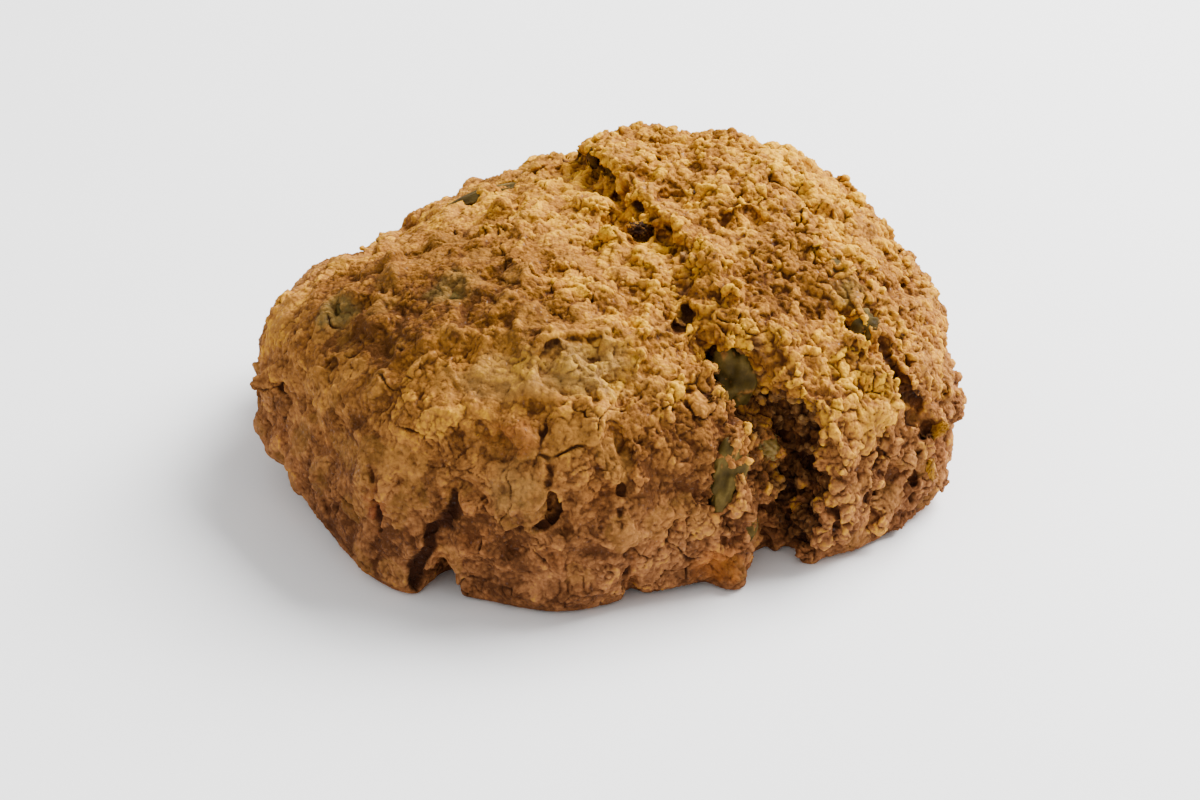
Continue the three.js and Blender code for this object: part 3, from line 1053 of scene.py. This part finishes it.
def baked_crust():
    """Oat dough baked to a golden top and a redder, darker foot, pale and damp where it tore open; painted
    shade darkens its hollows, gaps, cracks and lower sides, and painted light brightens its raised relief.
    """
    finish = Finish("baked_crust")
    fine = finish.attribute("fine")
    broad = finish.attribute("broad")
    sky = finish.attribute("sky")
    height = finish.spread(finish.height(), *(level * MM for level in BAKED_RISE))
    blotch = finish.noise(4.5)
    speck = finish.noise(0.9)
    colour = finish.ramp(toast_and_shade_tone(finish, height, speck, blotch), TOASTED)
    ruddy = finish.spread(finish.noise(6.5), 0.5, 0.72) * finish.spread(height, 1.3, 0.2)
    shaded = finish.spread(sky, 0.8, 0.45)
    for amount, tint in ((ruddy * 0.4, RUDDY), (height, GOLDEN), (shaded * 0.5, SHADED)):
        colour = finish.mix(amount, colour, tint, "MULTIPLY")
    colour = finish.mix(finish.attribute("flake") * 0.15, colour, OAT)
    for place, reach, shade, strength in PATCHES:
        colour = finish.mix(finish.beside(place, reach) * strength, colour, shade)
    # Painted shade: the pores, broad hollows, gaps between crumbs and cracks of the relief are darkened.
    pore_shade = finish.spread(fine, 0.46, 0.15)
    hollow_shade = finish.spread(broad, 0.36, 0.08)
    cracks = finish.spread(finish.attribute("crack"), 0.2, 1)
    colour = finish.mix(pore_shade * 0.38, colour, PORE_SHADE)
    colour = finish.mix(hollow_shade * 0.6, colour, HOLLOW_SHADE)
    colour = finish.mix(finish.attribute("gap") * 0.45, colour, GAP_SHADE)
    colour = finish.mix(cracks * 0.85, colour, CRACK_SHADE)
    # The torn crumb's tone, with painted light and shade from the relief and the height: lighter on raised
    # lumps, darker in hollows and lower down.
    torn_tone_and_shade = speck * 0.4 + blotch * 0.4 + broad * 0.7 + fine * 0.3 + height * 0.3 - 0.65
    inside = finish.spread(sky, 0.6, 0.4) * finish.attribute("torn")
    finish.set(Base_Color=finish.mix(inside, colour, finish.ramp(torn_tone_and_shade, TORN_CRUMB)))
    glint = finish.spread(finish.noise(0.5, 2), 0.6, 0.72)
    finish.set(Roughness=0.9, Specular_IOR_Level=0.08, Coat_Weight=glint * 0.3, Coat_Roughness=0.3)
    rounded = finish.bump(1 - finish.grains(CRUMB_GRAIN), 0.5, 0.35)
    grit = 1 - finish.grains(GRAIN) + finish.noise(0.35, 3, 0.7) * 0.6
    finish.set(Normal=finish.bump(grit, 0.28, 1, rounded))
    return finish.material


# The baked-in pieces: colours from dark to light, roughness and gloss of each kind.
SKIN_STOPS = (0.2, 0.5, 0.85)
FRUIT_SKINS = {
    "green_fruit": ((paint(44, 33, 10), paint(74, 58, 21), paint(112, 92, 45)), 0.7, 0.03),
    "pale_fruit": ((paint(92, 68, 24), paint(130, 104, 50), paint(164, 144, 88)), 0.4, 0.2),
    "raisin": ((paint(26, 14, 8), paint(52, 32, 20), paint(88, 58, 36)), 0.6, 0.06),
    "seed": ((paint(104, 62, 8), paint(148, 100, 18), paint(176, 132, 40)), 0.6, 0.06),
}
CRUMB_ROUGHNESS = 0.9


def fruit_skin(kind):
    """Shrivelled skin, darker in its folds, with baked crumb clinging to it."""
    shades, roughness, gloss = FRUIT_SKINS[kind]
    finish = Finish(kind)
    cling = finish.attribute("cling")
    tone = finish.noise(3.5, 2) * 0.7 + finish.noise(0.8, 2) * 0.25 + finish.attribute("folds") * 0.25 - 0.1
    skin = finish.ramp(tone, list(zip(SKIN_STOPS, shades)))
    crumb = finish.ramp(finish.noise(0.8), CLUNG_CRUMB)
    finish.set(Base_Color=finish.mix(cling, skin, crumb))
    finish.set(Roughness=cling * (CRUMB_ROUGHNESS - roughness) + roughness, Coat_Weight=gloss)
    finish.set(Specular_IOR_Level=0.06, Coat_Roughness=0.25)
    finish.set(Normal=finish.bump(finish.noise(0.5, 4, 0.6), 0.25, 0.6))
    return finish.material


# -------- fruit, raisins and seeds
# For each kind: its size beside the CAD one, how deep it sits in mm, its swell and wrinkles as shares
# of its half width, how many wrinkles run round it, and how much crumb clings to it.
KINDS = {
    "green_fruit": {"size": 1.05, "sunk": 1.2, "swell": 0.35, "wrinkle": 0.12, "folds": 1.2, "crumbs": 0.0},
    "pale_fruit": {"size": 0.9, "sunk": 0.5, "swell": 0.3, "wrinkle": 0.12, "folds": 1.6, "crumbs": 0.15},
    "raisin": {"size": 0.65, "sunk": 1.0, "swell": 0.2, "wrinkle": 0.3, "folds": 2.4, "crumbs": 0.2},
    "seed": {"size": 0.9, "sunk": 0.4, "swell": 0.1, "wrinkle": 0.1, "folds": 2.5, "crumbs": 0.1},
}
# Each piece's kind, by the first word of its name.
KIND_OF = {"fruit": "green_fruit", "pale": "pale_fruit", "raisin": "raisin", "seed": "seed"}
# Pieces that lie deeper than others of their kind, in mm.
SUNK = {"fruit_in_split": 1.9, "fruit_left_crown": 1.3, "fruit_right_crack_lower": 1.8}
FRUIT_DETAIL = 5
# Takes each piece to wrinkles of its own. Then how fine the swells, the patches of clinging crumb and
# that crumb's own relief are, how sharp the folds are, and the crumb's height in mm and its swing.
OWN_WRINKLES = 3.1
SWELL_PITCH = 0.9
CLING_PITCH = 2.6
CLING_GRAIN = 9
FOLD_SHARPNESS = 2.5
CLING_HEIGHT = 0.2
CLING_SWING = 0.15
# The band where dough laps over a piece, by how far a place faces out of the dough: 1 is straight out.
# A little weight is left everywhere, so that there is always somewhere to pick.
RIM_STARTS = (0.0, 0.35)
RIM_ENDS = (0.9, 0.5)
RIM_LEAST = 0.001


def oval_of(node):
    """The middle of a CAD node that is an oval, and its half axes as rows, longest first."""
    points = read_points(node.data).astype(float)
    centre = (points.min(0) + points.max(0)) / 2
    axes = np.linalg.svd(points - centre, full_matrices=False)[2]
    reach = np.abs((points - centre) @ axes.T).max(0)
    return centre, axes * reach[:, None]


def inclusion(name, tree):
    """A wrinkled, irregular body in the place of an oval CAD node, crumbs sticking to it."""
    kind = KIND_OF[name.split("_")[0]]
    recipe = KINDS[kind]
    centre, axes = oval_of(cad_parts[name])
    sphere, faces = ball(FRUIT_DETAIL)
    own = centre * OWN_WRINKLES
    half_thickness = np.linalg.norm(axes[2])
    swell = mottle(sphere * SWELL_PITCH + own, 1, 2)
    folds = 1 - np.abs(mottle(sphere * recipe["folds"] + own, 1, 2)) * FOLD_SHARPNESS
    radial = recipe["size"] + swell * recipe["swell"] + (folds - 0.5) * recipe["wrinkle"]
    outward = np.array(tree.find_nearest(Vector(centre) * MM)[1])
    facing = unit(sphere @ axes) @ outward
    cling = ease(mottle(sphere * CLING_PITCH - own, 1), 0.5 - recipe["crumbs"], 0.6 - recipe["crumbs"])
    crumbs = CLING_HEIGHT + CLING_SWING * mottle(sphere * CLING_GRAIN + own, 1, 2)
    crumbs = cling * crumbs / half_thickness
    points = (sphere * radial[:, None]) @ axes
    points += sphere @ axes * crumbs[:, None]
    points += centre - outward * SUNK.get(name, recipe["sunk"])
    mesh = make_mesh(name + "_body", points, faces)
    rim = ease(facing, *RIM_STARTS) * ease(facing, *RIM_ENDS) + RIM_LEAST
    write_layers(mesh, {"cling": cling, "folds": np.clip(folds, 0, 1), "rim": rim})
    mesh.shade_smooth()
    piece = placed(name + "_body", mesh)
    piece.data.materials.append(fruit_skin(kind))
    keep(piece, kind, name)
    return piece


# -------- studio
FLOOR_HALF = 3
FLOOR_PATCH = 60
SOFTBOXES = {
    "key_softbox": {"place": (0.6, 0.35, 0.75), "size": (0.8, 0.7), "watts": 45},
    "fill_softbox": {"place": (-0.7, -0.9, 0.7), "size": (1.2, 0.9), "watts": 3},
}
AIR_STRENGTH = 0.97
FLOOR_TONES = [(0.3, (0.88, 0.88, 0.88, 1)), (0.7, (0.9, 0.9, 0.9, 1))]


def matte_floor():
    finish = Finish("pale_floor")
    finish.set(Base_Color=finish.ramp(finish.noise(FLOOR_PATCH, 2), FLOOR_TONES), Roughness=0.7)
    return finish.material


def floor():
    shape = bmesh.new()
    bmesh.ops.create_grid(shape, x_segments=1, y_segments=1, size=FLOOR_HALF)
    mesh = bpy.data.meshes.new("floor")
    shape.to_mesh(mesh)
    shape.free()
    mesh.materials.append(matte_floor())
    placed("floor", mesh)


def softbox(name, place, size, watts):
    data = bpy.data.lights.new(name, "AREA")
    data.shape = "RECTANGLE"
    data.size, data.size_y = size
    data.energy = watts
    light = placed(name, data)
    light.location = place
    light.rotation_euler = (AIM - Vector(place)).to_track_quat("-Z", "Y").to_euler()


def studio():
    floor()
    for name, box in SOFTBOXES.items():
        softbox(name, **box)
    world = bpy.data.worlds.new("studio_air")
    world.use_nodes = True
    air = world.node_tree.nodes["Background"].inputs
    air["Color"].default_value = (1, 1, 1, 1)
    air["Strength"].default_value = AIR_STRENGTH
    bpy.context.scene.world = world


# -------- the cookie
studio()
base = substrate()
base_tree = surface_tree(base)
bodies = [inclusion(name, base_tree) for name in INCLUSIONS]
body = crust(base, base_tree, bodies)
body.data.materials.append(baked_crust())
keep(body, "crust", "cookie")
